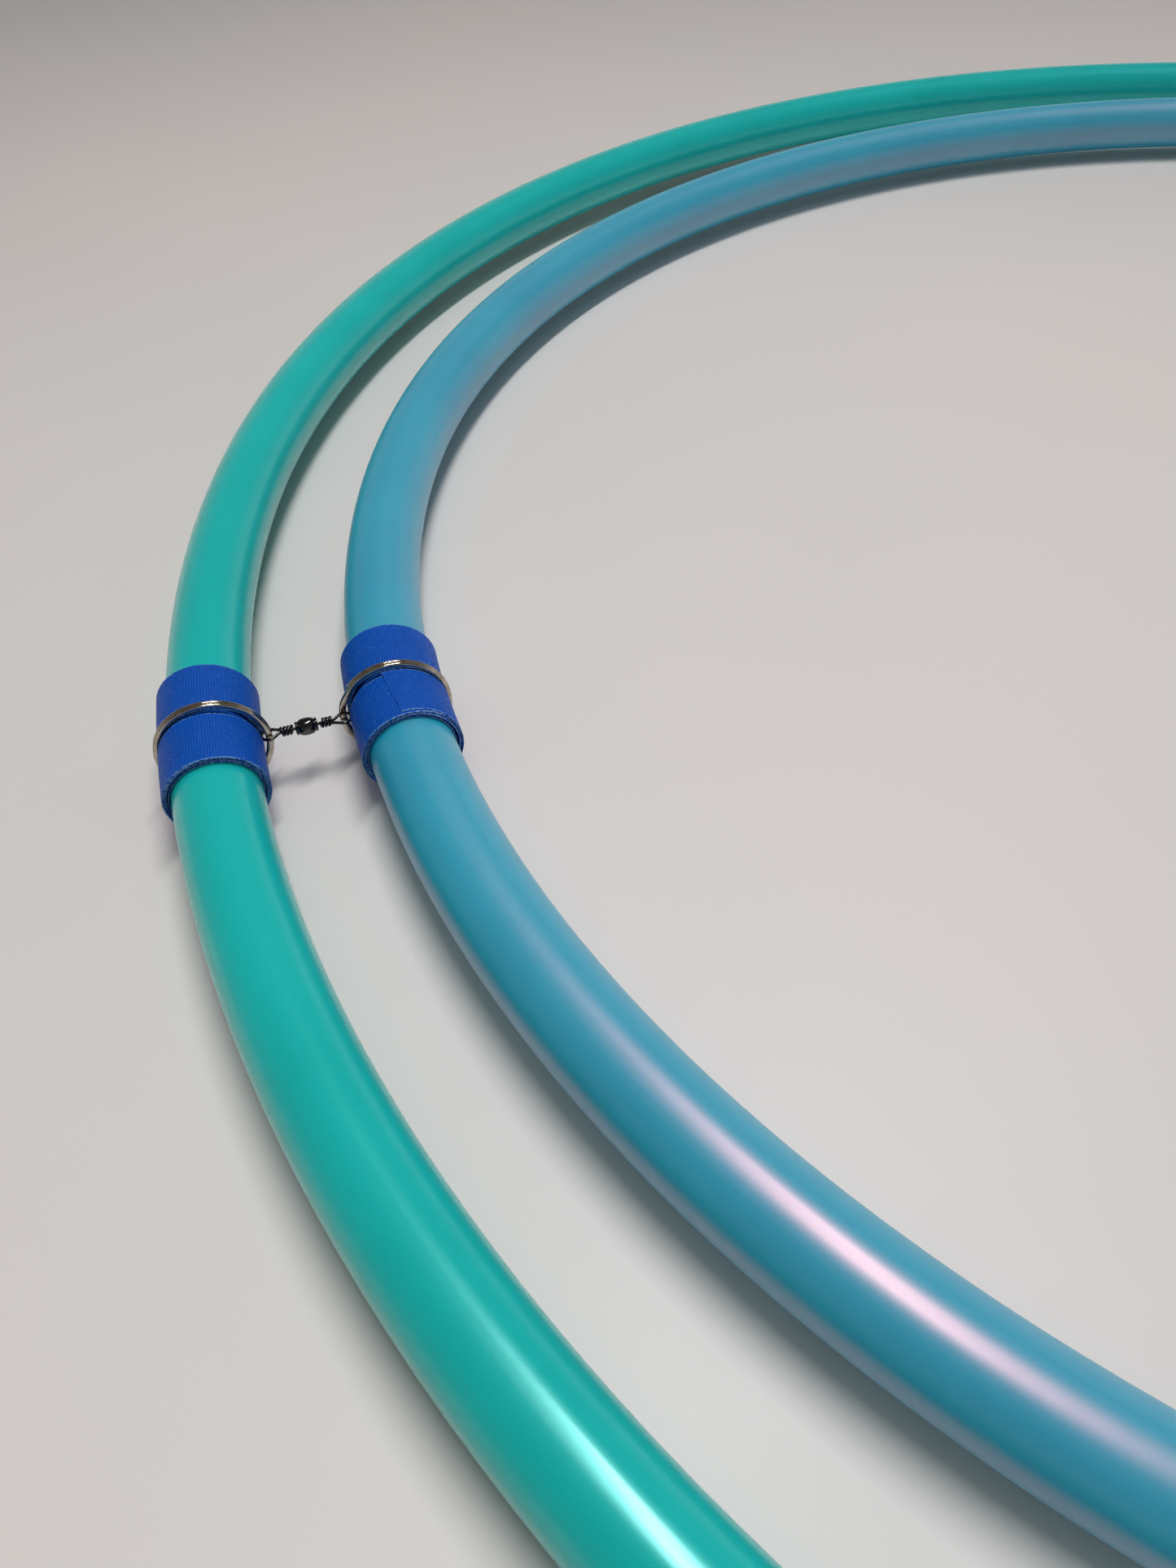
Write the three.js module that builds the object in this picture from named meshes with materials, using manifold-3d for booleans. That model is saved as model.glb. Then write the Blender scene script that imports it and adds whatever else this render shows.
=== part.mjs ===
// A pair of flow hoops, one nested inside the other, joined at two opposite points by small barrel swivels.
// Millimetres, +Z up. The hoops lie flat: the origin is on the resting surface under their common centre,
// and X runs along the diameter through the two links. Each hoop is a bent plastic pipe closed by an inner
// connector, a rivet and a snap button. A link is, on each pipe, a base wrap of tape with two collars that
// leave a groove, a split ring running in that groove, and one eye of the barrel swivel.
import * as THREE from "three";
import { mergeVertices } from "three/addons/utils/BufferGeometryUtils.js";
import Module from "manifold-3d";

const wasm = await Module();
wasm.setup();

// Driving dimensions.
const PIPE_RADIUS = 7.94; // 5/8 inch pipe
const PIPE_WALL = 1.6;
const GAP = 0.3; // clearance that touching pieces keep
// Half sizes of each hoop's centre line along X and Y. The taut links draw the outer hoop in and the inner out.
const HOOPS = {
  outer: { halfX: 281.3, halfY: 284.3, colour: 0x1ea5a1 },
  inner: { halfX: 246.2, halfY: 238.4, colour: 0x3698b9 },
};
const HOOP_STEPS = 72;
const PIPE_SIDES = 12;
const SEAM_ANGLE = -Math.PI / 2; // where the pipe's two ends meet
const SEAM_GAP = 0.5;
const WELD = 1e-4; // vertices closer than this are one

const CONNECTOR_STEPS_EACH_WAY = 2; // in steps of the hoop, about 24 mm each
const CONNECTOR_WALL = 1.6;
const FASTENER_FROM_SEAM = 18;
const RIVET = {
  head: 3.2,
  headHeight: 1.1,
  shoulder: 2.4,
  shoulderHeight: 0.77,
  shank: 1.6,
  tail: 2.3,
  tailFlat: 1.61,
  tailHeight: 0.9,
};
const BUTTON = { radius: 2.5, proud: 0.9, foot: 3.2, crown: 0.6, shoulder: 2, shoulderDrop: 0.18 };
const LEAF = { width: 3.4, thickness: 0.4, reach: 3, length: 17, low: -3.75, high: 2.8 };
const HOLE_CLEARANCE = 0.15;

const TAPE_HALF_LENGTH = 12.7; // each taped band is one inch long
const BASE_TAPE = 0.2;
const COLLAR_RADIUS = 9.6;
const GROOVE_TO_STOP = 1.55; // from the link's axis to the collar that the ring runs against
const GROOVE_TO_KEEPER = 1.85;

const RING = { outer: 10.7, width: 1.3, coil: 0.7, pitch: 0.8, sides: 24 };
const RING_CROSSING_STEPS = 2; // the wire steps from one coil to the next over this many sides
const RING_CROSSING_FROM = (-37.5 * Math.PI) / 180; // measured from the swivel's side
const RING_SHIFT = 0.5; // a taut link pulls each ring this far towards the swivel
const HOOP_HEIGHT = RING.outer; // the rings are the lowest pieces, so the pipes' plane is this high

const WIRE_RADIUS = 0.3;
const WIRE_SIDES = 6;
const EYE_INSIDE = 1.1;
const EYE_BEHIND_RING = 0.46; // from the ring's inner edge to the inside of the eye's tip
const EYE_HALF_TURN = 0.62 * Math.PI; // how far the eye's bend reaches to each side of its tip
const EYE_STEPS = 8;
const WRAPS = { turns: 3, perTurn: 8, radius: 0.72, pitch: 0.68, start: 4.7 };
const EYE_NECK = 4.95; // where the wire leaves the shank for the eye
const NECK = { straightTo: 0.2, along: 0.35, across: 0.3, backAlong: 0.3, backClearance: 0.12 };
const BARREL = {
  halfLength: 2.1,
  radius: 1.65,
  bellyTo: 0.63,
  shoulder: 1.452,
  shoulderAt: 1.47,
  endRadius: 1.05,
  wall: 0.45,
  sides: 14,
};
const SHANK_CLEARANCE = 0.12;
const SHANK_HEAD = { radius: 0.75, from: 0.7, to: 1.35 };

const PLASTIC = { roughness: 0.3, metalness: 0 };
const MATERIALS = {
  outer: new THREE.MeshStandardMaterial({ color: HOOPS.outer.colour, ...PLASTIC }),
  inner: new THREE.MeshStandardMaterial({ color: HOOPS.inner.colour, ...PLASTIC }),
  connector: new THREE.MeshStandardMaterial({ color: 0xd8dad8, roughness: 0.45, metalness: 0 }),
  tape: new THREE.MeshStandardMaterial({ color: 0x0b4cb4, roughness: 0.7, metalness: 0 }),
  nickel: new THREE.MeshStandardMaterial({ color: 0xc9c4b8, roughness: 0.2, metalness: 1 }),
  blackNickel: new THREE.MeshStandardMaterial({ color: 0x3a3c3c, roughness: 0.25, metalness: 1 }),
};

const Y = new THREE.Vector3(0, 1, 0);
const Z = new THREE.Vector3(0, 0, 1);
const PIPE_FLAT = flatOf(PIPE_RADIUS);

// A path through given points. Across, if given, is the direction that the section's height keeps.
class StepPath extends THREE.Curve {
  constructor(points, across = null) {
    super();
    this.points = points;
    this.across = across;
  }

  getPoint(t) {
    const along = Math.min(Math.max(t, 0), 1) * (this.points.length - 1);
    const from = Math.min(Math.floor(along), this.points.length - 2);
    return this.points[from].clone().lerp(this.points[from + 1], along - from);
  }

  getPointAt(u) {
    return this.getPoint(u);
  }

  getTangentAt(u) {
    return this.getTangent(u);
  }

  computeFrenetFrames(segments, closed) {
    if (!this.across) return super.computeFrenetFrames(segments, closed);
    const frames = { tangents: [], normals: [], binormals: [] };
    for (let i = 0; i <= segments; i++) {
      const tangent = this.getTangentAt(i / segments);
      frames.tangents.push(tangent);
      frames.normals.push(new THREE.Vector3().crossVectors(this.across, tangent).normalize());
      frames.binormals.push(this.across.clone());
    }
    return frames;
  }
}

function sweep(section, points, across) {
  const extrudePath = new StepPath(points, across);
  return new THREE.ExtrudeGeometry(section, { steps: points.length - 1, extrudePath });
}

// The corner radius of the pipe's polygon whose area is that of a circle of this radius.
function sameAreaCorner(radius) {
  const slice = (2 * Math.PI) / PIPE_SIDES;
  return radius * Math.sqrt(slice / Math.sin(slice));
}

function flatOf(radius) {
  return sameAreaCorner(radius) * Math.cos(Math.PI / PIPE_SIDES);
}

function polygon(sides, corner) {
  const points = [];
  for (let i = 0; i < sides; i++) {
    const angle = ((2 * i + 1) * Math.PI) / sides;
    points.push(new THREE.Vector2(corner * Math.cos(angle), corner * Math.sin(angle)));
  }
  return points;
}

// A pipe's section: flats at the top, bottom and both sides.
function annulus(outer, inner) {
  const shape = new THREE.Shape(polygon(PIPE_SIDES, sameAreaCorner(outer)));
  shape.holes.push(new THREE.Path(polygon(PIPE_SIDES, sameAreaCorner(inner))));
  return shape;
}

function rectangle(width, height) {
  const [x, y] = [width / 2, height / 2];
  const corners = [[-x, -y], [x, -y], [x, y], [-x, y]];
  return new THREE.Shape(corners.map(([a, b]) => new THREE.Vector2(a, b)));
}

function lathe(profile, sides) {
  return new THREE.LatheGeometry(profile.map(([r, y]) => new THREE.Vector2(r, y)), sides);
}

function solid(geometry) {
  const bare = geometry.clone();
  bare.deleteAttribute("normal");
  bare.deleteAttribute("uv");
  const merged = mergeVertices(bare, WELD);
  const triVerts = new Uint32Array(merged.index.array);
  const vertProperties = merged.attributes.position.array;
  return new wasm.Manifold(new wasm.Mesh({ numProp: 3, vertProperties, triVerts }));
}

function geometryOf(manifold) {
  const { vertProperties, triVerts } = manifold.getMesh();
  const geometry = new THREE.BufferGeometry();
  geometry.setAttribute("position", new THREE.BufferAttribute(vertProperties, 3));
  geometry.setIndex(new THREE.BufferAttribute(triVerts, 1));
  geometry.computeVertexNormals();
  return geometry;
}

function join(first, second) {
  return geometryOf(solid(first).add(solid(second)));
}

function cut(geometry, cutters) {
  return geometryOf(cutters.reduce((left, c) => left.subtract(solid(c)), solid(geometry)));
}

function mesh(name, geometry, material) {
  const made = new THREE.Mesh(geometry, material);
  made.name = name;
  return made;
}

function hoopPoint(hoop, angle) {
  return new THREE.Vector3(hoop.halfX * Math.cos(angle), hoop.halfY * Math.sin(angle), 0);
}

function arcPoints(hoop, from, to, steps) {
  const points = [];
  for (let i = 0; i <= steps; i++) points.push(hoopPoint(hoop, from + ((to - from) * i) / steps));
  return points;
}

// A point on the pipe's first straight step from the seam, towards +X for side 1 and -X for side -1.
function nearSeam(hoop, side, distance) {
  const seam = hoopPoint(hoop, SEAM_ANGLE);
  const next = hoopPoint(hoop, SEAM_ANGLE + (side * 2 * Math.PI) / HOOP_STEPS);
  return seam.clone().addScaledVector(next.sub(seam).normalize(), distance);
}

function holeAt(place, radius) {
  const drill = new THREE.CylinderGeometry(radius, radius, PIPE_RADIUS * 2, PIPE_SIDES);
  drill.rotateX(Math.PI / 2);
  return drill.translate(place.x, place.y, PIPE_RADIUS);
}

// The rivet's head is outside the pipe and its set tail is inside the connector.
function rivetGeometry() {
  const headFrom = PIPE_FLAT + GAP;
  const tailTo = flatOf(PIPE_RADIUS - PIPE_WALL - GAP - CONNECTOR_WALL) - GAP;
  return lathe(
    [
      [0, tailTo - RIVET.tailHeight],
      [RIVET.tailFlat, tailTo - RIVET.tailHeight],
      [RIVET.tail, tailTo - RIVET.tailHeight / 2],
      [RIVET.tailFlat, tailTo],
      [RIVET.shank, tailTo],
      [RIVET.shank, headFrom],
      [RIVET.head, headFrom],
      [RIVET.shoulder, headFrom + RIVET.shoulderHeight],
      [0, headFrom + RIVET.headHeight],
    ],
    PIPE_SIDES,
  );
}

function buttonGeometry() {
  const top = PIPE_FLAT + BUTTON.proud;
  return lathe(
    [
      [0, BUTTON.foot],
      [BUTTON.radius, BUTTON.foot],
      [BUTTON.radius, top - BUTTON.crown],
      [BUTTON.shoulder, top - BUTTON.shoulderDrop],
      [0, top],
    ],
    PIPE_SIDES,
  );
}

// A strip bent to a V: its lower leg lies in the connector, and its upper leg carries the button.
function leafGeometry() {
  const { thickness, reach, length, low, high, width } = LEAF;
  const bend = thickness * 2;
  const outline = [
    [-reach, low],
    [length, low],
    [length + bend, low + bend],
    [length, low + bend * 2],
    [reach, high],
    [-reach, high],
    [-reach, high - thickness],
    [reach, high - thickness],
    [length - thickness, low + bend + thickness],
    [length + thickness, low + bend],
    [length - thickness, low + thickness],
    [-reach, low + thickness],
  ];
  const shape = new THREE.Shape(outline.map(([x, y]) => new THREE.Vector2(x, y)));
  const strip = new THREE.ExtrudeGeometry(shape, { depth: width, bevelEnabled: false });
  return strip.translate(0, 0, -width / 2).rotateX(Math.PI / 2);
}

function hoopPieces(name) {
  const hoop = HOOPS[name];
  const halfGap = SEAM_GAP / 2 / hoop.halfX;
  const connectorOuter = PIPE_RADIUS - PIPE_WALL - GAP;
  const connectorReach = (CONNECTOR_STEPS_EACH_WAY * 2 * Math.PI) / HOOP_STEPS;
  const rivetPlace = nearSeam(hoop, 1, FASTENER_FROM_SEAM);
  const buttonPlace = nearSeam(hoop, -1, FASTENER_FROM_SEAM);
  const holes = [
    holeAt(rivetPlace, RIVET.shank + HOLE_CLEARANCE),
    holeAt(buttonPlace, BUTTON.radius + HOLE_CLEARANCE),
  ];
  const pipe = sweep(
    annulus(PIPE_RADIUS, PIPE_RADIUS - PIPE_WALL),
    arcPoints(hoop, SEAM_ANGLE + halfGap, SEAM_ANGLE + 2 * Math.PI - halfGap, HOOP_STEPS),
    Z,
  );
  const connector = sweep(
    annulus(connectorOuter, connectorOuter - CONNECTOR_WALL),
    arcPoints(hoop, SEAM_ANGLE - connectorReach, SEAM_ANGLE + connectorReach, 2 * CONNECTOR_STEPS_EACH_WAY),
    Z,
  );
  const rivet = mesh(`${name}_rivet`, rivetGeometry(), MATERIALS.nickel);
  rivet.position.copy(rivetPlace);
  rivet.rotation.x = Math.PI / 2;
  const button = mesh(`${name}_snap_button`, buttonGeometry(), MATERIALS.nickel);
  button.position.copy(buttonPlace);
  button.rotation.x = Math.PI / 2;
  const leaf = mesh(`${name}_button_spring`, leafGeometry(), MATERIALS.nickel);
  const towardsSeam = hoopPoint(hoop, SEAM_ANGLE).sub(buttonPlace);
  leaf.position.copy(buttonPlace);
  leaf.rotation.z = Math.atan2(towardsSeam.y, towardsSeam.x);
  const group = new THREE.Group();
  group.add(
    mesh(`${name}_tube`, cut(pipe, holes), MATERIALS[name]),
    mesh(`${name}_connector`, cut(connector, holes), MATERIALS.connector),
    rivet,
    button,
    leaf,
  );
  return group;
}

// A band of tape round the pipe, from one distance along it to another, both measured from the link's axis.
// At the link the pipe's straight steps lean back by this much for each millimetre along it.
function band(hoop, outer, inner, from, to) {
  const step = (2 * Math.PI) / HOOP_STEPS;
  const lean = (hoop.halfX * (1 - Math.cos(step))) / (hoop.halfY * Math.sin(step));
  const places = from < 0 && to > 0 ? [from, 0, to] : [from, to];
  const points = places.map((y) => new THREE.Vector3(lean * Math.abs(y), y, 0));
  return sweep(annulus(outer, inner), points, Z);
}

// Two flat coils of one wire, side by side, joined where the wire crosses from the first to the second.
function splitRingGeometry() {
  const side = (2 * Math.PI) / RING.sides;
  const corner = RING.outer / Math.cos(side / 2) - RING.width / 2;
  const crossingEnd = RING.sides + RING_CROSSING_STEPS;
  const points = [];
  for (let i = RING_CROSSING_STEPS; i <= 2 * RING.sides; i++) {
    const crossed = Math.min(Math.max((i - RING.sides) / (crossingEnd - RING.sides), 0), 1);
    const angle = RING_CROSSING_FROM + i * side;
    const y = (crossed - 0.5) * RING.pitch;
    points.push(new THREE.Vector3(corner * Math.cos(angle), y, corner * Math.sin(angle)));
  }
  return sweep(rectangle(RING.width, RING.coil), points, Y);
}

function ringInnerFlat() {
  const half = Math.PI / RING.sides;
  return (RING.outer / Math.cos(half) - RING.width) * Math.cos(half);
}

// The tape and the ring of one hoop, seen from its leftmost point. Swivel is 1 if the swivel is towards +X.
function fitting(link, name, swivel) {
  const hoop = HOOPS[name];
  const baseInner = PIPE_RADIUS + GAP;
  const baseOuter = baseInner + BASE_TAPE;
  const collarInner = baseOuter + GAP;
  const prefix = `${link}_${name}`;
  const group = new THREE.Group();
  group.add(
    mesh(
      `${prefix}_base_wrap`,
      band(hoop, baseOuter, baseInner, -TAPE_HALF_LENGTH, TAPE_HALF_LENGTH),
      MATERIALS.tape,
    ),
    mesh(
      `${prefix}_stop_collar`,
      band(hoop, COLLAR_RADIUS, collarInner, GROOVE_TO_STOP, TAPE_HALF_LENGTH),
      MATERIALS.tape,
    ),
    mesh(
      `${prefix}_keeper_collar`,
      band(hoop, COLLAR_RADIUS, collarInner, -TAPE_HALF_LENGTH, -GROOVE_TO_KEEPER),
      MATERIALS.tape,
    ),
  );
  const ring = mesh(`${prefix}_split_ring`, splitRingGeometry(), MATERIALS.nickel);
  ring.position.x = swivel * RING_SHIFT;
  if (swivel < 0) ring.rotation.y = Math.PI;
  group.add(ring);
  group.position.x = -hoop.halfX;
  return group;
}

// From the swivel's centre: along the shank, round the eye, and back in wraps round the shank.
function eyeWirePoints(tipCentre) {
  const eye = EYE_INSIDE + WIRE_RADIUS;
  const points = [
    new THREE.Vector3(SHANK_HEAD.from + WIRE_RADIUS, 0, 0),
    new THREE.Vector3(BARREL.halfLength, 0, 0),
    new THREE.Vector3(EYE_NECK - NECK.straightTo, 0, 0),
    new THREE.Vector3(EYE_NECK + NECK.along, NECK.across, 0),
  ];
  for (let i = 0; i <= EYE_STEPS; i++) {
    const angle = EYE_HALF_TURN * (1 - (2 * i) / EYE_STEPS);
    points.push(new THREE.Vector3(tipCentre + eye * Math.cos(angle), eye * Math.sin(angle), 0));
  }
  points.push(new THREE.Vector3(EYE_NECK + NECK.backAlong, -WRAPS.radius - NECK.backClearance, 0));
  for (let i = 0; i <= WRAPS.turns * WRAPS.perTurn; i++) {
    const turned = i / WRAPS.perTurn;
    const angle = 2 * Math.PI * turned;
    const x = WRAPS.start - WRAPS.pitch * turned;
    points.push(new THREE.Vector3(x, -WRAPS.radius * Math.cos(angle), WRAPS.radius * Math.sin(angle)));
  }
  return points;
}

function eyeGeometry(tipCentre) {
  const section = new THREE.Shape(polygon(WIRE_SIDES, WIRE_RADIUS));
  const { radius, from, to } = SHANK_HEAD;
  const head = lathe([[0, from], [radius, from], [radius, to], [0, to]], BARREL.sides);
  head.rotateZ(-Math.PI / 2);
  return join(sweep(section, eyeWirePoints(tipCentre)), head);
}

// A hollow barrel, open at both ends where the shanks come out, with their heads held inside.
function barrelGeometry() {
  const { halfLength, radius, bellyTo, shoulder, shoulderAt, endRadius, wall, sides } = BARREL;
  const hole = WIRE_RADIUS + SHANK_CLEARANCE;
  const inside = radius - wall;
  const half = [
    [inside, 0],
    [inside, halfLength - wall],
    [hole, halfLength - wall],
    [hole, halfLength],
    [endRadius, halfLength],
    [shoulder, shoulderAt],
    [radius, bellyTo],
  ];
  const otherHalf = half.slice(1).reverse().map(([r, y]) => [r, -y]);
  return lathe([...half, ...otherHalf, half[0]].reverse(), sides).rotateZ(-Math.PI / 2);
}

// A link at the hoops' leftmost points. Turned half round, it is also the link at their rightmost points.
function linkPieces(link) {
  const outerTip = -HOOPS.outer.halfX + RING_SHIFT + ringInnerFlat() - EYE_BEHIND_RING + EYE_INSIDE;
  const innerTip = -HOOPS.inner.halfX - RING_SHIFT - ringInnerFlat() + EYE_BEHIND_RING - EYE_INSIDE;
  const tipCentre = (innerTip - outerTip) / 2;
  const swivel = new THREE.Group();
  swivel.position.x = (innerTip + outerTip) / 2;
  const innerEye = mesh(`${link}_inner_eye`, eyeGeometry(tipCentre), MATERIALS.blackNickel);
  const outerEye = mesh(`${link}_outer_eye`, eyeGeometry(tipCentre), MATERIALS.blackNickel);
  outerEye.rotation.z = Math.PI;
  swivel.add(outerEye, mesh(`${link}_swivel_barrel`, barrelGeometry(), MATERIALS.blackNickel), innerEye);
  const group = new THREE.Group();
  group.add(fitting(link, "outer", 1), fitting(link, "inner", -1), swivel);
  return group;
}

const leftLink = linkPieces("left");
const rightLink = linkPieces("right");
rightLink.rotation.z = Math.PI;

const hoopPair = new THREE.Group();
hoopPair.position.z = HOOP_HEIGHT;
hoopPair.add(hoopPieces("outer"), hoopPieces("inner"), leftLink, rightLink);

export default hoopPair;
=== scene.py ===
"""A pair of nested flow hoops joined by two barrel swivels: the looks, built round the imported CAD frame.

Lengths are in millimetres until a mesh or a light is made. Places come from the frame's boxes.
A pipe's section angle, phi, is 0 on the side away from the hoops' centre and a quarter turn at the top.
"""
import math

import bmesh
import bpy
import numpy as np
from mathutils import Matrix, Vector


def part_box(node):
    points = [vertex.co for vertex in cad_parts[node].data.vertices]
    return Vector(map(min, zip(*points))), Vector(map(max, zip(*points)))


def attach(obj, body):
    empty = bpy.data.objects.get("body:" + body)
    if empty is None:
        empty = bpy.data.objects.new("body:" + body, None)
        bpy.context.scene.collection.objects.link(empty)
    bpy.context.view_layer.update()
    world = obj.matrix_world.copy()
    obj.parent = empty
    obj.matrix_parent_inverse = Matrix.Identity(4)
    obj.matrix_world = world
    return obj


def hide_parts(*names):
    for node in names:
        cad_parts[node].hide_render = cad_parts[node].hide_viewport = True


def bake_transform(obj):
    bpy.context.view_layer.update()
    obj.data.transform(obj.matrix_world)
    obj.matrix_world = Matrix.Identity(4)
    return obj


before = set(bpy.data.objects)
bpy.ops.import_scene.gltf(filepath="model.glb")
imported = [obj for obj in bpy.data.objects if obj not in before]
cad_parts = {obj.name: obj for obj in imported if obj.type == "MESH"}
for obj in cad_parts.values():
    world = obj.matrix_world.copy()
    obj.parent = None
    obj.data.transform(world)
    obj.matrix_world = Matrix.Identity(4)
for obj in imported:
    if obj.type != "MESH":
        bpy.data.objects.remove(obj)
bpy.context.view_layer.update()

MM = 0.001
TAU = 2 * math.pi

# The camera, in the frame's axes. Its turns are heading about Z, pitch from level, and roll.
IMAGE_SIZE = (1445, 1927)
CAMERA_PLACE = (-251.73, -164.42, 154.73)
CAMERA_HEADING = math.radians(-14.209)
CAMERA_PITCH_DOWN = 0.8095
CAMERA_ROLL = -0.0586
CAMERA_FOCUS = 1391.13  # in image pixels
SENSOR = 36.0

# How bright the room's horizon is on the left and on the right, and its ceiling.
HORIZON = (0.15, 0.5)
CEILING = 0.12

HOOPS = {"outer": "teal_plastic", "inner": "blue_plastic"}
LINKS = ("left", "right")
CAD_PIPE_SLICE = TAU / 12
CAD_FLAT_SHARE = math.sqrt(CAD_PIPE_SLICE / math.sin(CAD_PIPE_SLICE)) * math.cos(CAD_PIPE_SLICE / 2)
PIPE_WALL = 1.6
PIPE_SIDES = 48
PIPE_STATIONS = 300
PIPE_CHAMFER = 0.35
SEAM_ANGLE = -math.pi / 2
SEAM_GAP = 0.3
FIT = 0.02  # the gap drawn between pieces that touch

TAPE_TURNS = {"base_wrap": 2, "stop_collar": 4, "keeper_collar": 4}
TAPE_STATIONS = 96  # in each turn
TAPE_SLANT = 0.12  # of its cut ends
EDGE_BANDS = (0.0, 0.1, 0.3, 0.9)  # where the tape's mesh has lines, from each edge

RING_COIL = 0.7
RING_WIDTH = 1.3
RING_CORNER = 0.3
RING_STATIONS = 144
RING_CROSSING = (-37.5, -7.5)  # degrees from the swivel's side

WIRE = 0.3
EYE_RADIUS = 1.4
EYE_HALF_TURN = 0.62 * math.pi
WRAP_TURNS = 3.25
WRAP_RADIUS = 0.7
WRAP_PITCH = 0.66
WRAP_START = 4.75
EYE_NECK = 4.95
SHANK_HEAD = (0.7, 1.35, 0.75)  # from, to, radius

LEAF_WIDTH = 3.4
LEAF_THICKNESS = 0.4
LEAF_BEND = 0.6


def box_mm(node):
    low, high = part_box(node)
    return np.array(low) / MM, np.array(high) / MM


def smooth(x):
    x = np.clip(x, 0.0, 1.0)
    return x * x * (3 - 2 * x)


# Meshes.


def grid_object(name, points, uv, rows_close=False, columns_close=True, caps=False, edge=None):
    """A mesh from a grid of points. uv has one row and one column more wherever the grid closes."""
    rows, columns = points.shape[:2]
    row_faces = rows if rows_close else rows - 1
    column_faces = columns if columns_close else columns - 1
    faces, corners = [], []
    for i in range(row_faces):
        low, high = i * columns, ((i + 1) % rows) * columns
        for j in range(column_faces):
            k = (j + 1) % columns
            faces.append((low + j, low + k, high + k, high + j))
            corners.append(((i, j), (i, j + 1), (i + 1, j + 1), (i + 1, j)))
    if caps:
        faces += [tuple(range(columns))[::-1], tuple(range((rows - 1) * columns, rows * columns))]
        corners += [[(0, j) for j in range(columns)][::-1], [(rows - 1, j) for j in range(columns)]]
    mesh = bpy.data.meshes.new(name)
    mesh.from_pydata((points.reshape(-1, 3) * MM).tolist(), [], faces)
    layer = mesh.uv_layers.new(name="across_along")
    flat = np.array([uv[i, j] for face in corners for i, j in face], np.float32)
    layer.data.foreach_set("uv", flat.ravel())
    if edge is not None:
        attribute = mesh.attributes.new("edge", "FLOAT", "POINT")
        attribute.data.foreach_set("value", edge.astype(np.float32).ravel())
    work = bmesh.new()
    work.from_mesh(mesh)
    bmesh.ops.recalc_face_normals(work, faces=work.faces)
    work.to_mesh(mesh)
    work.free()
    piece = bpy.data.objects.new(name, mesh)
    bpy.context.scene.collection.objects.link(piece)
    return piece


def shade(piece, degrees=40):
    piece.data.shade_smooth()
    piece.data.set_sharp_from_angle(angle=math.radians(degrees))
    return piece


def lathe(name, profile, sides, place, axis):
    """A closed profile of (radius, along) turned about an axis, "X" or "Z", at a place."""
    profile = np.array(profile, float)
    angle = np.arange(sides) * TAU / sides
    r, along = profile[:, 0][:, None], profile[:, 1][:, None]
    around, up, axial = r * np.cos(angle), r * np.sin(angle), along + 0 * angle
    order = (axial, around, up) if axis == "X" else (around, up, axial)
    points = np.stack(order, -1) + np.array(place, float)
    u = np.arange(sides + 1) / sides * TAU * profile[:, 0].max()
    v = np.append(profile[:, 1], profile[0, 1])
    uv = np.stack(np.meshgrid(u, v), -1)
    piece = grid_object(name, points, uv, rows_close=True)
    work = bmesh.new()
    work.from_mesh(piece.data)
    bmesh.ops.remove_doubles(work, verts=work.verts, dist=1e-7)
    bmesh.ops.recalc_face_normals(work, faces=work.faces)
    work.to_mesh(piece.data)
    work.free()
    return shade(piece)


def sweep(name, path, section, up=None, scale=None):
    """A closed section of (side, up) points swept along a path.

    Up, if given, is the side that stays fixed.
    """
    path = np.array(path, float)
    tangent = np.gradient(path, axis=0)
    tangent /= np.linalg.norm(tangent, axis=1)[:, None]
    if up is None:
        normals = [np.cross(tangent[0], (0.0, 0.0, 1.0))]
        for t in tangent[1:]:
            turned = normals[-1] - t * (normals[-1] @ t)
            normals.append(turned / np.linalg.norm(turned))
        side = np.array(normals)
    else:
        side = np.cross(np.array(up, float), tangent)
    side /= np.linalg.norm(side, axis=1)[:, None]
    over = np.cross(tangent, side)
    section = np.array(section, float)
    sizes = np.ones((len(path), 2)) if scale is None else np.array(scale, float)
    across = section[None, :, 0] * sizes[:, :1]
    upward = section[None, :, 1] * sizes[:, 1:]
    points = path[:, None] + across[..., None] * side[:, None] + upward[..., None] * over[:, None]
    closed = np.vstack([section, section[:1]])
    u = np.append(0, np.cumsum(np.linalg.norm(np.diff(closed, axis=0), axis=1)))
    v = np.append(0, np.cumsum(np.linalg.norm(np.diff(path, axis=0), axis=1)))
    return shade(grid_object(name, points, np.stack(np.meshgrid(u, v), -1), caps=True))


def rounded_rectangle(width, height, corner, steps=3):
    points = []
    for quarter, (x, y) in enumerate(((1, 1), (-1, 1), (-1, -1), (1, -1))):
        for i in range(steps + 1):
            angle = (quarter + i / steps) * math.pi / 2
            points.append((
                x * (width / 2 - corner) + corner * math.cos(angle),
                y * (height / 2 - corner) + corner * math.sin(angle),
            ))
    return points


def circle(radius, sides):
    return [(radius * math.cos(a), radius * math.sin(a)) for a in np.arange(sides) * TAU / sides]


def through(points, steps):
    """A smooth line through points, with this many steps from each to the next."""
    p = np.array(points, float)
    p = np.vstack([2 * p[0] - p[1], p, 2 * p[-1] - p[-2]])
    made = []
    for i in range(1, len(p) - 2):
        for t in np.arange(steps) / steps:
            made.append(0.5 * (
                2 * p[i] + (p[i + 1] - p[i - 1]) * t
                + (2 * p[i - 1] - 5 * p[i] + 4 * p[i + 1] - p[i + 2]) * t * t
                + (3 * p[i] - p[i - 1] - 3 * p[i + 1] + p[i + 2]) * t ** 3
            ))
    return made + [p[-2]]


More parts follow.
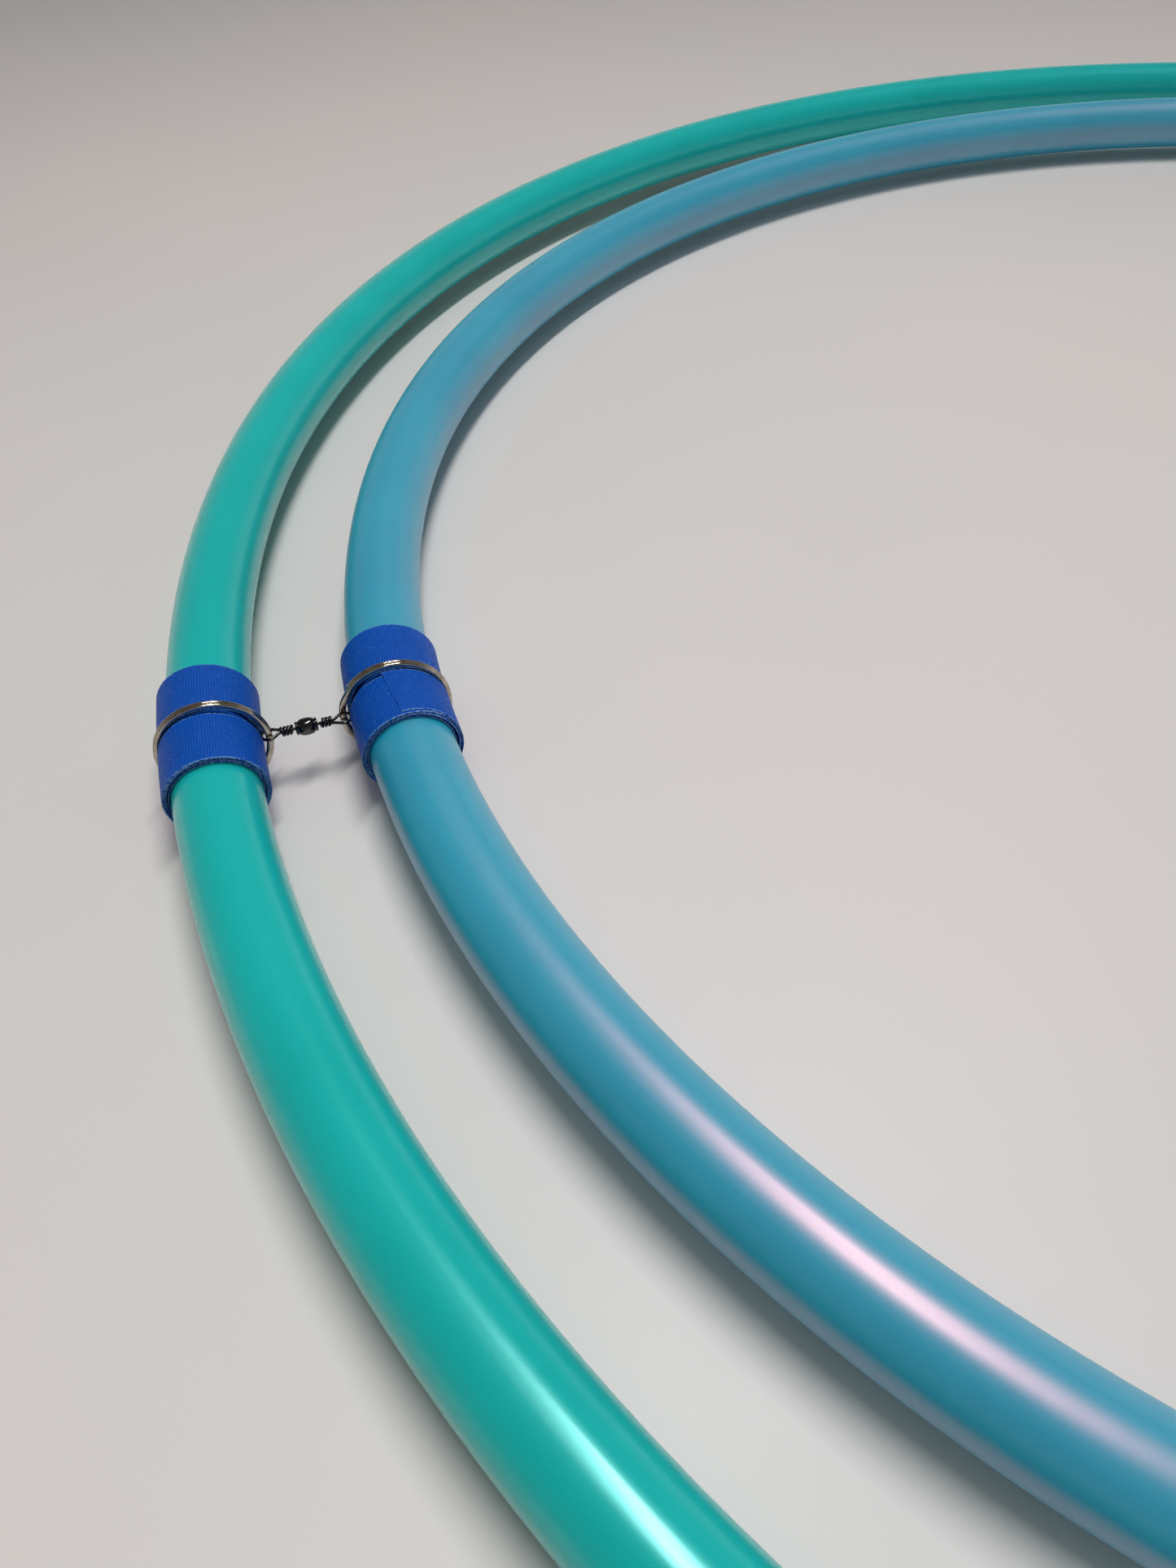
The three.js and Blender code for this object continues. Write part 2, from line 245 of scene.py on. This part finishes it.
class Hoop:
    """The centre line of one hoop's pipe, an ellipse about the origin."""

    def __init__(self, name):
        low, high = box_mm(f"{name}_tube")
        flat = (high[2] - low[2]) / 2
        self.radius = flat / CAD_FLAT_SHARE
        self.half_x = (high[0] - low[0]) / 2 - flat
        self.half_y = (high[1] - low[1]) / 2 - flat
        self.height = (high[2] + low[2]) / 2

    def place(self, angle, r, phi):
        """Points at a distance r from the centre line, which is at this angle about the origin."""
        c, s = np.cos(angle), np.sin(angle)
        outward = np.stack([self.half_y * c, self.half_x * s], -1)
        outward /= np.linalg.norm(outward, axis=-1)[..., None]
        x = self.half_x * c + outward[..., 0] * r * np.cos(phi)
        y = self.half_y * s + outward[..., 1] * r * np.cos(phi)
        return np.stack([x, y, self.height + r * np.sin(phi) + 0 * x], -1)


def turned_for(link, points):
    """The right link is the left one turned half round about Z."""
    return points if link == "left" else points * np.array((-1.0, -1.0, 1.0))


# The pieces.


def pipe(name, hoop, holes):
    gap = SEAM_GAP / 2 / hoop.half_x
    bevel = PIPE_CHAMFER / hoop.half_x
    start, end = SEAM_ANGLE + gap, SEAM_ANGLE + TAU - gap
    angle = np.concatenate([[start], np.linspace(start + bevel, end - bevel, PIPE_STATIONS), [end]])
    outside = np.full(len(angle), hoop.radius)
    outside[[0, -1]] -= PIPE_CHAMFER
    inside = np.full(len(angle), hoop.radius - PIPE_WALL)
    angles, radii = np.concatenate([angle, angle[::-1]]), np.concatenate([outside, inside])
    phi = np.arange(PIPE_SIDES) * TAU / PIPE_SIDES
    points = hoop.place(angles[:, None], radii[:, None], phi[None])
    u = np.arange(PIPE_SIDES + 1) / PIPE_SIDES * TAU * hoop.radius
    v = np.append(angles, angles[0]) * hoop.half_x
    piece = grid_object(name, points, np.stack(np.meshgrid(u, v), -1), rows_close=True)
    for (x, y), radius in holes:
        height = hoop.height + hoop.radius
        low, high = height - 2 * hoop.radius + PIPE_WALL + 1, height + 1
        drill = lathe("drill", [(0, low), (radius, low), (radius, high), (0, high)], 48, (x, y, 0), "Z")
        cut = piece.modifiers.new("hole", "BOOLEAN")
        cut.operation, cut.solver, cut.object = "DIFFERENCE", "EXACT", drill
        graph = bpy.context.evaluated_depsgraph_get()
        drilled = bpy.data.meshes.new_from_object(piece.evaluated_get(graph))
        piece.modifiers.clear()
        piece.data = drilled
        bpy.data.objects.remove(drill)
    return shade(piece)


def tape(name, link, hoop, span, inner, layer, turns, end_phi, set_back=0.0, seed=0):
    """Tape wound on a pipe from the inside out, over a span along it. Its last turn ends at end_phi.
    Set_back is how far the tape's last end is slid along the pipe."""
    rng = np.random.default_rng(seed)
    count = round(turns * TAPE_STATIONS) + 1
    wound = np.linspace(0, turns * TAU, count)
    phi = end_phi + (turns * TAU - wound)
    base = inner + wound / TAU * layer
    width = span[1] - span[0]
    lines = list(EDGE_BANDS) + [width / 2] + [width - x for x in EDGE_BANDS[::-1]]
    drift = np.zeros((2, count))
    for wave in range(1, 7):
        strength, shift = rng.uniform(0.07, 0.2, (2, 1)) / wave ** 0.5, rng.uniform(0, TAU, (2, 1))
        drift += strength * np.sin(wound * wave / 3.1 + shift)
    slide = set_back * smooth((wound - (turns * TAU - 2.4)) / 2.4)
    thickness = layer * 0.88
    rows = []
    for side, order in ((1, lines), (0, lines[::-1])):
        for x in order:
            near = min(x, width - x)
            share = x / width
            s = span[0] + x + (1 - share) * drift[0] + share * drift[1] + slide
            rim = 0.05 * (1 - smooth(near / EDGE_BANDS[1]))
            r = base + (thickness - rim if side else rim)
            rows.append((r, s, near + 0 * s))
    r, s, near = (np.array([row[k] for row in rows]).T for k in range(3))
    angle = math.pi - s / hoop.half_y
    slanted = phi[:, None] - TAPE_SLANT * (s - sum(span) / 2) / inner
    points = turned_for(link, hoop.place(angle, r, slanted))
    edge = 1 - smooth(near / EDGE_BANDS[2])
    u = wound[:, None] * inner + TAPE_SLANT * (s - sum(span) / 2)
    u, v = (np.hstack([x, x[:, :1]]) for x in (u, s))
    return shade(grid_object(name, points, np.stack([u, v], -1), caps=True, edge=edge), 50)


def split_ring(name, link, low, high, swivel_side):
    centre = (low + high) / 2
    outer = (high[2] - low[2]) / 2
    pitch = high[1] - low[1] - RING_COIL
    middle = outer - RING_WIDTH / 2
    cross_from, cross_to = (math.radians(a) for a in RING_CROSSING)
    angle = np.linspace(cross_to, cross_from + 2 * TAU, 2 * RING_STATIONS)
    crossed = smooth((angle - cross_from - TAU) / (cross_to - cross_from))
    path = np.stack([middle * np.cos(angle), (crossed - 0.5) * pitch, middle * np.sin(angle)], -1)
    if swivel_side < 0:
        path *= np.array((-1.0, 1.0, -1.0))
    path = turned_for(link, path)
    section = rounded_rectangle(RING_WIDTH, RING_COIL, RING_CORNER)
    scale = np.ones((len(path), 2))
    scale[[0, -1]] = 0.8
    return sweep(name, path + centre, section, up=(0, 1, 0), scale=scale)


def eye(name, barrel_centre, reach, direction):
    """The wire of one eye, from its head in the barrel, round the eye and back in wraps."""
    tip = reach - EYE_RADIUS - WIRE
    head_from, head_to, head_radius = SHANK_HEAD
    shank = [(head_from, 0, 0), (head_to, 0, 0), (head_to + 0.02, 0, 0), (2.1, 0, 0), (3.4, 0, 0)]
    line = [(EYE_NECK - 0.35, 0, 0), (EYE_NECK + 0.35, 0.32, 0)]
    for angle in np.linspace(EYE_HALF_TURN, -EYE_HALF_TURN, 11):
        line.append((tip + EYE_RADIUS * math.cos(angle), EYE_RADIUS * math.sin(angle), 0))
    line.append((EYE_NECK + 0.35, -WRAP_RADIUS - 0.1, 0.0))
    for turned in np.arange(0, WRAP_TURNS, 1 / 12):
        a = TAU * turned
        x = WRAP_START - WRAP_PITCH * turned
        line.append((x, -WRAP_RADIUS * math.cos(a), WRAP_RADIUS * math.sin(a)))
    path = np.array(shank + [tuple(p) for p in through(line, 4)])
    scale = np.ones((len(path), 2))
    scale[:2] = head_radius / WIRE
    path[:, :2] *= direction
    return sweep(name, path + barrel_centre, circle(WIRE, 14), scale=scale)


def barrel(name, centre, half, radius):
    """A hollow barrel with a rolled lip at each end and the shanks' holes in its ends."""
    wall, hole = 0.45, WIRE + 0.12
    belly_to, neck, lip = half - 0.62, 0.72 * radius, 0.8 * radius
    outside = []
    for i in range(13):
        x = belly_to * i / 12
        outside.append((neck + (radius - neck) * math.cos(math.pi / 2 * (i / 12) ** 1.5) ** 0.7, x))
    middle = half - 0.3
    for i in range(9):
        a = math.pi * (i / 8 - 0.5)
        outside.append((lip - 0.3 + 0.3 * math.cos(a), middle + 0.26 * math.sin(a)))
    half_profile = outside + [(hole + 0.08, half - 0.03), (hole, half - 0.1), (hole, half - wall)]
    half_profile += [(radius - wall, half - wall), (radius - wall, 0)]
    other = [(r, -x) for r, x in half_profile[-2:0:-1]]
    return lathe(name, half_profile + other, 48, centre, "X")


def domed(radius, height, base, steps=8, flatness=2.4):
    """The profile of a low dome, from its rim to the axis."""
    made = []
    for i in range(steps + 1):
        a = math.pi / 2 * i / steps
        made.append((radius * math.cos(a), base + height * math.sin(a) ** (2 / flatness)))
    return made


def rivet(name, low, high, crest):
    """A blind rivet: a domed head with the broken stem in its middle, a shank, and its set tail."""
    head, shank, stem = (high[0] - low[0]) / 2, 1.6, 0.9
    top, bottom = crest + 1.05, low[2]
    profile = [(0, bottom), (1.5, bottom), (2.3, bottom + 0.45), (1.6, bottom + 0.9), (shank, bottom + 0.9)]
    profile += [(shank, crest - 0.12), (head - 0.05, crest - 0.12), (head, crest - 0.02)]
    dome = [p for p in domed(head, top - crest - 0.1, crest + 0.1) if p[0] > stem + 0.2]
    profile += dome + [(stem + 0.12, top - 0.02), (stem, top - 0.12), (stem, top - 0.5)]
    profile += [(stem - 0.15, top - 0.5), (stem - 0.2, top - 0.32), (0, top - 0.28)]
    centre = (low + high) / 2
    return lathe(name, profile, 48, (centre[0], centre[1], 0), "Z")


def snap_button(name, low, high):
    radius = (high[0] - low[0]) / 2
    foot, top = low[2], high[2]
    profile = [(0, foot), (radius - 0.1, foot), (radius, foot + 0.1)]
    profile += domed(radius, 0.7, top - 0.7, steps=12, flatness=3)
    centre = (low + high) / 2
    return lathe(name, profile, 48, (centre[0], centre[1], 0), "Z")


def leaf_spring(name, low, high, button_low, button_high):
    """A strip bent back on itself: its foot lies in the pipe and its free end holds the button up."""
    place = (button_low + button_high) / 2
    out = ((low + high) / 2 - place)[:2]
    reach = np.linalg.norm(out)
    out /= reach
    half = ((high - low)[0] - LEAF_WIDTH * abs(out[1])) / 2 / abs(out[0])
    near, far = reach - half, reach + half
    foot, top = low[2] + LEAF_THICKNESS / 2, button_low[2] - FIT - LEAF_THICKNESS / 2
    bend_at = far - LEAF_BEND - LEAF_THICKNESS / 2
    line = [(near, foot), (reach, foot), (bend_at - 1, foot)]
    for a in np.linspace(-math.pi / 2, 0.39 * math.pi, 7):
        line.append((bend_at + LEAF_BEND * math.cos(a), foot + LEAF_BEND * (1 + math.sin(a))))
    start, knee = np.array(line[-1]), np.array((-near + 0.8, top - 0.2))
    line += [start + (knee - start) * share for share in (0.1, 0.5, 0.9)]
    line += [(-near, top - 0.04), (-near - 1, top), (0, top), (near, top)]
    path = [(place[0] + out[0] * x, place[1] + out[1] * x, z) for x, z in through(line, 4)]
    section = rounded_rectangle(LEAF_THICKNESS, LEAF_WIDTH, 0.12)
    return sweep(name, path, section, up=(-out[1], out[0], 0))


# Materials.


class Nodes:
    """Short names for the shader nodes of one material."""

    def __init__(self, name, **constants):
        self.material = bpy.data.materials.new(name)
        self.material.use_nodes = True
        self.tree = self.material.node_tree
        self.shader = self.tree.nodes["Principled BSDF"]
        for socket, value in constants.items():
            self.shader.inputs[socket.replace("_", " ")].default_value = value

    def node(self, kind, inputs=(), **settings):
        made = self.tree.nodes.new("ShaderNode" + kind)
        for key, value in settings.items():
            setattr(made, key, value)
        for key, value in dict(inputs).items():
            if isinstance(value, bpy.types.NodeSocket):
                self.tree.links.new(value, made.inputs[key])
            else:
                made.inputs[key].default_value = value
        return made

    def to_shader(self, socket, value):
        self.tree.links.new(value, self.shader.inputs[socket])

    def across_along(self, stretch):
        """The piece's own map, in millimetres across and along the band or pipe, stretched."""
        found = self.node("UVMap", uv_map="across_along")
        return self.node("Mapping", {"Vector": found.outputs["UV"], "Scale": stretch}).outputs["Vector"]

    def object_mm(self):
        found = self.node("TexCoord").outputs["Object"]
        return self.node("Mapping", {"Vector": found, "Scale": (1 / MM,) * 3}).outputs["Vector"]

    def noise(self, vector, scale, detail=3.0, roughness=0.5):
        inputs = {"Vector": vector, "Scale": scale, "Detail": detail, "Roughness": roughness}
        return self.node("TexNoise", inputs).outputs["Fac"]

    def levels(self, value, low, high, to_low=0.0, to_high=1.0):
        inputs = {"Value": value, "From Min": low, "From Max": high, "To Min": to_low, "To Max": to_high}
        return self.node("MapRange", inputs).outputs["Result"]

    def math(self, operation, a, b=0.0):
        return self.node("Math", {0: a, 1: b}, operation=operation).outputs["Value"]

    def mix(self, share, first, second, blend="MIX"):
        made = self.node("Mix", data_type="RGBA", blend_type=blend)
        for key, value in ((0, share), (6, first), (7, second)):
            if isinstance(value, bpy.types.NodeSocket):
                self.tree.links.new(value, made.inputs[key])
            else:
                made.inputs[key].default_value = value
        return made.outputs[2]

    def bump(self, height, distance, strength=1.0, under=None):
        inputs = {"Height": height, "Distance": distance * MM, "Strength": strength}
        if under is not None:
            inputs["Normal"] = under
        return self.node("Bump", inputs).outputs["Normal"]


def linear(*rgb255):
    """A colour given as 0 to 255 display values."""
    made = []
    for c in (x / 255 for x in rgb255):
        made.append(c / 12.92 if c <= 0.04045 else ((c + 0.055) / 1.055) ** 2.4)
    return (*made, 1.0)


def plastic(name, colour, deep, pale, haze, haze_level, roughness, coat, gloss, depth):
    """Milky polypropylene pipe: a glossy skin over a hazy body, with faint draw lines and fine scuffs."""
    m = Nodes(
        name, IOR=1.49, Subsurface_Weight=0.8, Subsurface_Scale=depth, Specular_Tint=haze,
        Specular_IOR_Level=haze_level, Coat_Weight=coat, Coat_Roughness=gloss)
    m.shader.inputs["Subsurface Radius"].default_value = (0.5, 1.0, 1.0)
    where = m.object_mm()
    draw = m.noise(m.across_along((1.3, 0.012, 1)), 1.0, detail=4)
    cloud = m.noise(where, 0.035, detail=2)
    scuff = m.noise(m.across_along((2.2, 0.35, 1)), 1.0, detail=6, roughness=0.7)
    tone = m.mix(m.levels(cloud, 0.3, 0.7), deep, colour)
    tone = m.mix(m.levels(draw, 0.4, 0.75, 0.0, 0.03), tone, pale)
    tone = m.mix(m.levels(scuff, 0.68, 0.85, 0.0, 0.06), tone, pale)
    m.to_shader("Base Color", tone)
    m.to_shader("Roughness", m.levels(draw, 0.3, 0.7, roughness - 0.02, roughness + 0.02))
    ripple = m.bump(m.noise(where, 0.11, detail=2), 0.05, 0.5)
    m.to_shader("Normal", ripple)
    return m.material


def cloth_tape(name, colour, deep, thread_and_glint):
    """Cloth-backed tape: warp ribs along the pipe, a finer weft, pale flecks on its grain that are painted
    glints, and frayed edges with pale fibres.
    """
    m = Nodes(name, IOR=1.45, Specular_IOR_Level=0.2)
    where = m.object_mm()
    ribs = m.node("TexWave", {
        "Vector": m.across_along((1, 1, 1)), "Scale": 0.7, "Distortion": 0.5, "Detail": 1.0,
    }, bands_direction="X").outputs["Fac"]
    weft = m.node("TexWave", {
        "Vector": m.across_along((1, 1, 1)), "Scale": 1.05, "Distortion": 1.2, "Detail": 1.0,
    }, bands_direction="Y").outputs["Fac"]
    weave = m.math("MULTIPLY", ribs, m.levels(weft, 0, 1, 0.55, 1.0))
    grain = m.noise(where, 1.9, detail=4, roughness=0.7)
    cloud = m.noise(where, 0.35, detail=2)
    edge = m.node("Attribute", attribute_name="edge").outputs["Fac"]
    fray = m.math("MULTIPLY", edge, m.levels(m.noise(where, 2.6, detail=3), 0.4, 0.58))
    tone = m.mix(m.levels(weave, 0.0, 0.9), deep, colour)
    tone = m.mix(m.levels(cloud, 0.3, 0.7, 0.0, 0.35), tone, deep)
    # Pale flecks where the grain is high, at its glossiest spots, are painted glints; the same pale colour
    # also serves the real frayed fibres below.
    tone = m.mix(m.levels(grain, 0.6, 0.72, 0.0, 0.3), tone, thread_and_glint)
    tone = m.mix(m.math("MULTIPLY", fray, 0.9), tone, thread_and_glint)
    m.to_shader("Base Color", tone)
    m.to_shader("Roughness", m.levels(grain, 0.35, 0.65, 0.66, 0.36))
    relief = m.bump(weave, 0.06, 0.7)
    m.to_shader("Normal", m.bump(grain, 0.08, 0.8, under=relief))
    return m.material


def metal(name, colour, tarnish, roughness, scratch=0.003):
    """Plated metal with a slightly uneven finish and fine scratches."""
    m = Nodes(name, Metallic=1.0)
    where = m.object_mm()
    cloud = m.noise(where, 0.6, detail=3)
    fine = m.noise(where, 3.5, detail=4, roughness=0.6)
    m.to_shader("Base Color", m.mix(m.levels(cloud, 0.35, 0.7), colour, tarnish))
    m.to_shader("Roughness", m.levels(fine, 0.3, 0.75, roughness, roughness + 0.07))
    m.to_shader("Normal", m.bump(cloud, scratch, 0.4))
    return m.material


def moulded(name, colour, shadow):
    m = Nodes(name, IOR=1.5, Subsurface_Weight=0.2, Subsurface_Scale=0.002)
    where = m.object_mm()
    m.to_shader("Base Color", m.mix(m.levels(m.noise(where, 0.12, detail=3), 0.3, 0.7), colour, shadow))
    grain = m.noise(where, 2.5, detail=4)
    m.to_shader("Roughness", m.levels(grain, 0.3, 0.7, 0.35, 0.5))
    m.to_shader("Normal", m.bump(grain, 0.03, 0.5))
    return m.material


def floor_material():
    m = Nodes("floor_paper", IOR=1.4)
    where = m.object_mm()
    patches = m.levels(m.noise(where, 0.004, detail=2), 0.3, 0.7)
    tone = m.mix(patches, linear(226, 222, 219), linear(221, 219, 216))
    m.to_shader("Base Color", tone)
    m.to_shader("Roughness", m.levels(m.noise(where, 0.02, detail=3), 0.3, 0.7, 0.42, 0.5))
    return m.material


MATERIALS = {
    "teal_plastic": plastic(
        "teal_plastic", linear(22, 201, 197), linear(18, 193, 189), linear(110, 205, 195),
        (0.4, 1.0, 0.93, 1.0), 1.05, 0.24, 0.12, 0.13, 0.006),
    "blue_plastic": plastic(
        "blue_plastic", linear(12, 184, 222), linear(8, 176, 214), linear(130, 190, 215),
        (1.0, 0.44, 0.46, 1.0), 2.1, 0.37, 0.2, 0.24, 0.007),
    "connector_plastic": moulded("connector_plastic", linear(226, 228, 224), linear(205, 208, 204)),
    "blue_tape": cloth_tape("blue_tape", linear(0, 98, 208), linear(0, 66, 160), linear(140, 185, 232)),
    "bright_nickel": metal("bright_nickel", linear(196, 188, 174), linear(158, 149, 134), 0.08),
    "black_nickel": metal("black_nickel", linear(96, 94, 92), linear(74, 74, 75), 0.08),
    "aluminium_rivet": metal("aluminium_rivet", linear(214, 215, 217), linear(190, 191, 193), 0.28),
    "spring_steel": metal("spring_steel", linear(168, 168, 164), linear(140, 138, 132), 0.3),
}


def dress(piece, slot, *nodes):
    piece.data.materials.clear()
    piece.data.materials.append(MATERIALS[slot])
    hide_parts(*nodes)
    return piece


def finish_piece(piece, body, slot, *nodes):
    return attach(dress(piece, slot, *nodes), body)


# Building.


def build_hoop(name, slot):
    hoop = Hoop(name)
    rivet_box, button_box = box_mm(f"{name}_rivet"), box_mm(f"{name}_snap_button")
    button_radius = (button_box[1][0] - button_box[0][0]) / 2
    holes = [
        (((rivet_box[0] + rivet_box[1]) / 2)[:2], 1.75),
        (((button_box[0] + button_box[1]) / 2)[:2], button_radius + 0.2),
    ]
    body = f"{name}_hoop"
    finish_piece(pipe(f"{name}_pipe", hoop, holes), body, slot, f"{name}_tube")
    crest = hoop.height + hoop.radius
    finish_piece(
        rivet(f"{name}_blind_rivet", *rivet_box, crest), body, "aluminium_rivet", f"{name}_rivet")
    finish_piece(
        snap_button(f"{name}_button", *button_box), f"{name}_button", "bright_nickel", f"{name}_snap_button")
    leaf_box = box_mm(f"{name}_button_spring")
    leaf = leaf_spring(f"{name}_leaf", *leaf_box, *button_box)
    dress(leaf, "spring_steel", f"{name}_button_spring")
    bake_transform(leaf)
    return hoop


def along_span(link, low, high):
    """How far from the link's axis a band reaches, along the left link's +Y."""
    return (low[1], high[1]) if link == "left" else (-high[1], -low[1])


def build_link(link, hoops):
    for number, (name, hoop) in enumerate(hoops.items()):
        prefix, body = f"{link}_{name}", f"{name}_hoop"
        inner = hoop.radius + FIT
        for seed, (part, turns) in enumerate(TAPE_TURNS.items()):
            low, high = box_mm(f"{prefix}_{part}")
            outer = (high[2] - low[2]) / 2 / CAD_FLAT_SHARE
            layer = (outer - inner) / (turns + 1)
            shows_end = (name, part) == ("inner", "keeper_collar")
            end_phi = math.pi / 2 - 0.12 if shows_end else -math.pi * (0.35 + 0.2 * seed + 0.1 * number)
            piece = tape(
                f"{prefix}_{part}_tape", link, hoop, along_span(link, low, high), inner, layer, turns,
                end_phi, 0.7 if shows_end else 0.0, seed=seed + 3 * number + 6 * LINKS.index(link))
            finish_piece(piece, body, "blue_tape", f"{prefix}_{part}")
            if part == "base_wrap":
                inner = outer + FIT
        ring_box = box_mm(f"{prefix}_split_ring")
        side = 1 if name == "outer" else -1
        finish_piece(
            split_ring(f"{prefix}_ring", link, *ring_box, side),
            f"{prefix}_ring", "bright_nickel", f"{prefix}_split_ring")
    low, high = box_mm(f"{link}_swivel_barrel")
    centre, half, radius = (low + high) / 2, (high[0] - low[0]) / 2, (high[2] - low[2]) / 2
    finish_piece(
        barrel(f"{link}_barrel_shell", centre, half, radius),
        f"{link}_barrel", "black_nickel", f"{link}_swivel_barrel")
    for name in hoops:
        eye_low, eye_high = box_mm(f"{link}_{name}_eye")
        towards = 1 if (eye_low + eye_high)[0] / 2 > centre[0] else -1
        reach = eye_high[0] - centre[0] if towards > 0 else centre[0] - eye_low[0]
        finish_piece(
            eye(f"{link}_{name}_eye_wire", centre, reach, towards),
            f"{name}_hoop", "black_nickel", f"{link}_{name}_eye")


def dress_cad_nodes():
    """The connectors, hidden in the pipes, stay as they are in CAD, with a material of their own."""
    for name in HOOPS:
        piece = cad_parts[f"{name}_connector"]
        piece.data.materials.clear()
        piece.data.materials.append(MATERIALS["connector_plastic"])


# The stage, the lights and the camera.


def build_floor():
    size = 3.0
    mesh = bpy.data.meshes.new("floor")
    corners = [(-size, -size, 0), (size, -size, 0), (size, size, 0), (-size, size, 0)]
    mesh.from_pydata(corners, [], [(0, 1, 2, 3)])
    floor = bpy.data.objects.new("floor", mesh)
    bpy.context.scene.collection.objects.link(floor)
    mesh.materials.append(floor_material())


def area_light(name, place, target, size, watts, colour, spread, mirrored=True):
    data = bpy.data.lights.new(name, "AREA")
    data.shape, data.size, data.size_y = "RECTANGLE", *size
    data.energy, data.color, data.spread = watts, colour, math.radians(spread)
    light = bpy.data.objects.new(name, data)
    light.location = place
    light.rotation_mode = "QUATERNION"
    light.rotation_quaternion = (Vector(target) - Vector(place)).to_track_quat("-Z", "Y")
    light.visible_glossy = mirrored
    bpy.context.scene.collection.objects.link(light)


def build_lights():
    """One narrow lamp overhead, a wide softbox that the skins don't mirror, and the room.

    The room is a pale band round the horizon, brighter on the right, under a darker ceiling.
    """
    area_light("key", (0.0, 0.16, 1.5), (-0.3, -0.12, 0), (0.14, 0.9), 4.05, (1.0, 0.985, 0.99), 92)
    area_light(
        "softbox", (-0.4, -0.2, 2.2), (-0.3, -0.1, 0), (2.2, 2.2), 4.1, (1.0, 0.93, 0.9), 140,
        mirrored=False)
    world = bpy.data.worlds.new("studio")
    world.use_nodes = True
    tree = world.node_tree
    split = tree.nodes.new("ShaderNodeSeparateXYZ")
    tree.links.new(tree.nodes.new("ShaderNodeTexCoord").outputs["Generated"], split.inputs[0])

    def fade(axis, settings):
        made = tree.nodes.new("ShaderNodeMapRange")
        made.interpolation_type = "SMOOTHSTEP"
        tree.links.new(split.outputs[axis], made.inputs["Value"])
        for key, value in zip(("From Min", "From Max", "To Min", "To Max"), settings):
            made.inputs[key].default_value = value
        return made.outputs["Result"]

    band = tree.nodes.new("ShaderNodeMath")
    band.operation = "MULTIPLY_ADD"
    tree.links.new(fade("Z", (0.0, 0.55, 1.0, 0.0)), band.inputs[0])
    tree.links.new(fade("X", (-0.8, 0.8, HORIZON[0], HORIZON[1])), band.inputs[1])
    band.inputs[2].default_value = CEILING
    background = tree.nodes["Background"]
    background.inputs["Color"].default_value = (1.0, 0.92, 0.88, 1)
    tree.links.new(band.outputs["Value"], background.inputs["Strength"])
    bpy.context.scene.world = world


def build_camera():
    data = bpy.data.cameras.new("camera")
    data.sensor_width = SENSOR
    data.lens = SENSOR * CAMERA_FOCUS / max(IMAGE_SIZE)
    data.clip_start, data.clip_end = 0.005, 20
    camera = bpy.data.objects.new("camera", data)
    turn = Matrix.Rotation(CAMERA_HEADING, 4, "Z")
    turn @= Matrix.Rotation(math.pi / 2 - CAMERA_PITCH_DOWN, 4, "X")
    turn @= Matrix.Rotation(CAMERA_ROLL, 4, "Z")
    camera.matrix_world = Matrix.Translation(Vector(CAMERA_PLACE) * MM) @ turn
    bpy.context.scene.collection.objects.link(camera)
    bpy.context.scene.camera = camera


build_camera()
hoops = {name: build_hoop(name, slot) for name, slot in HOOPS.items()}
for link in LINKS:
    build_link(link, hoops)
dress_cad_nodes()
build_floor()
build_lights()
bpy.context.scene.view_settings.view_transform = "Standard"
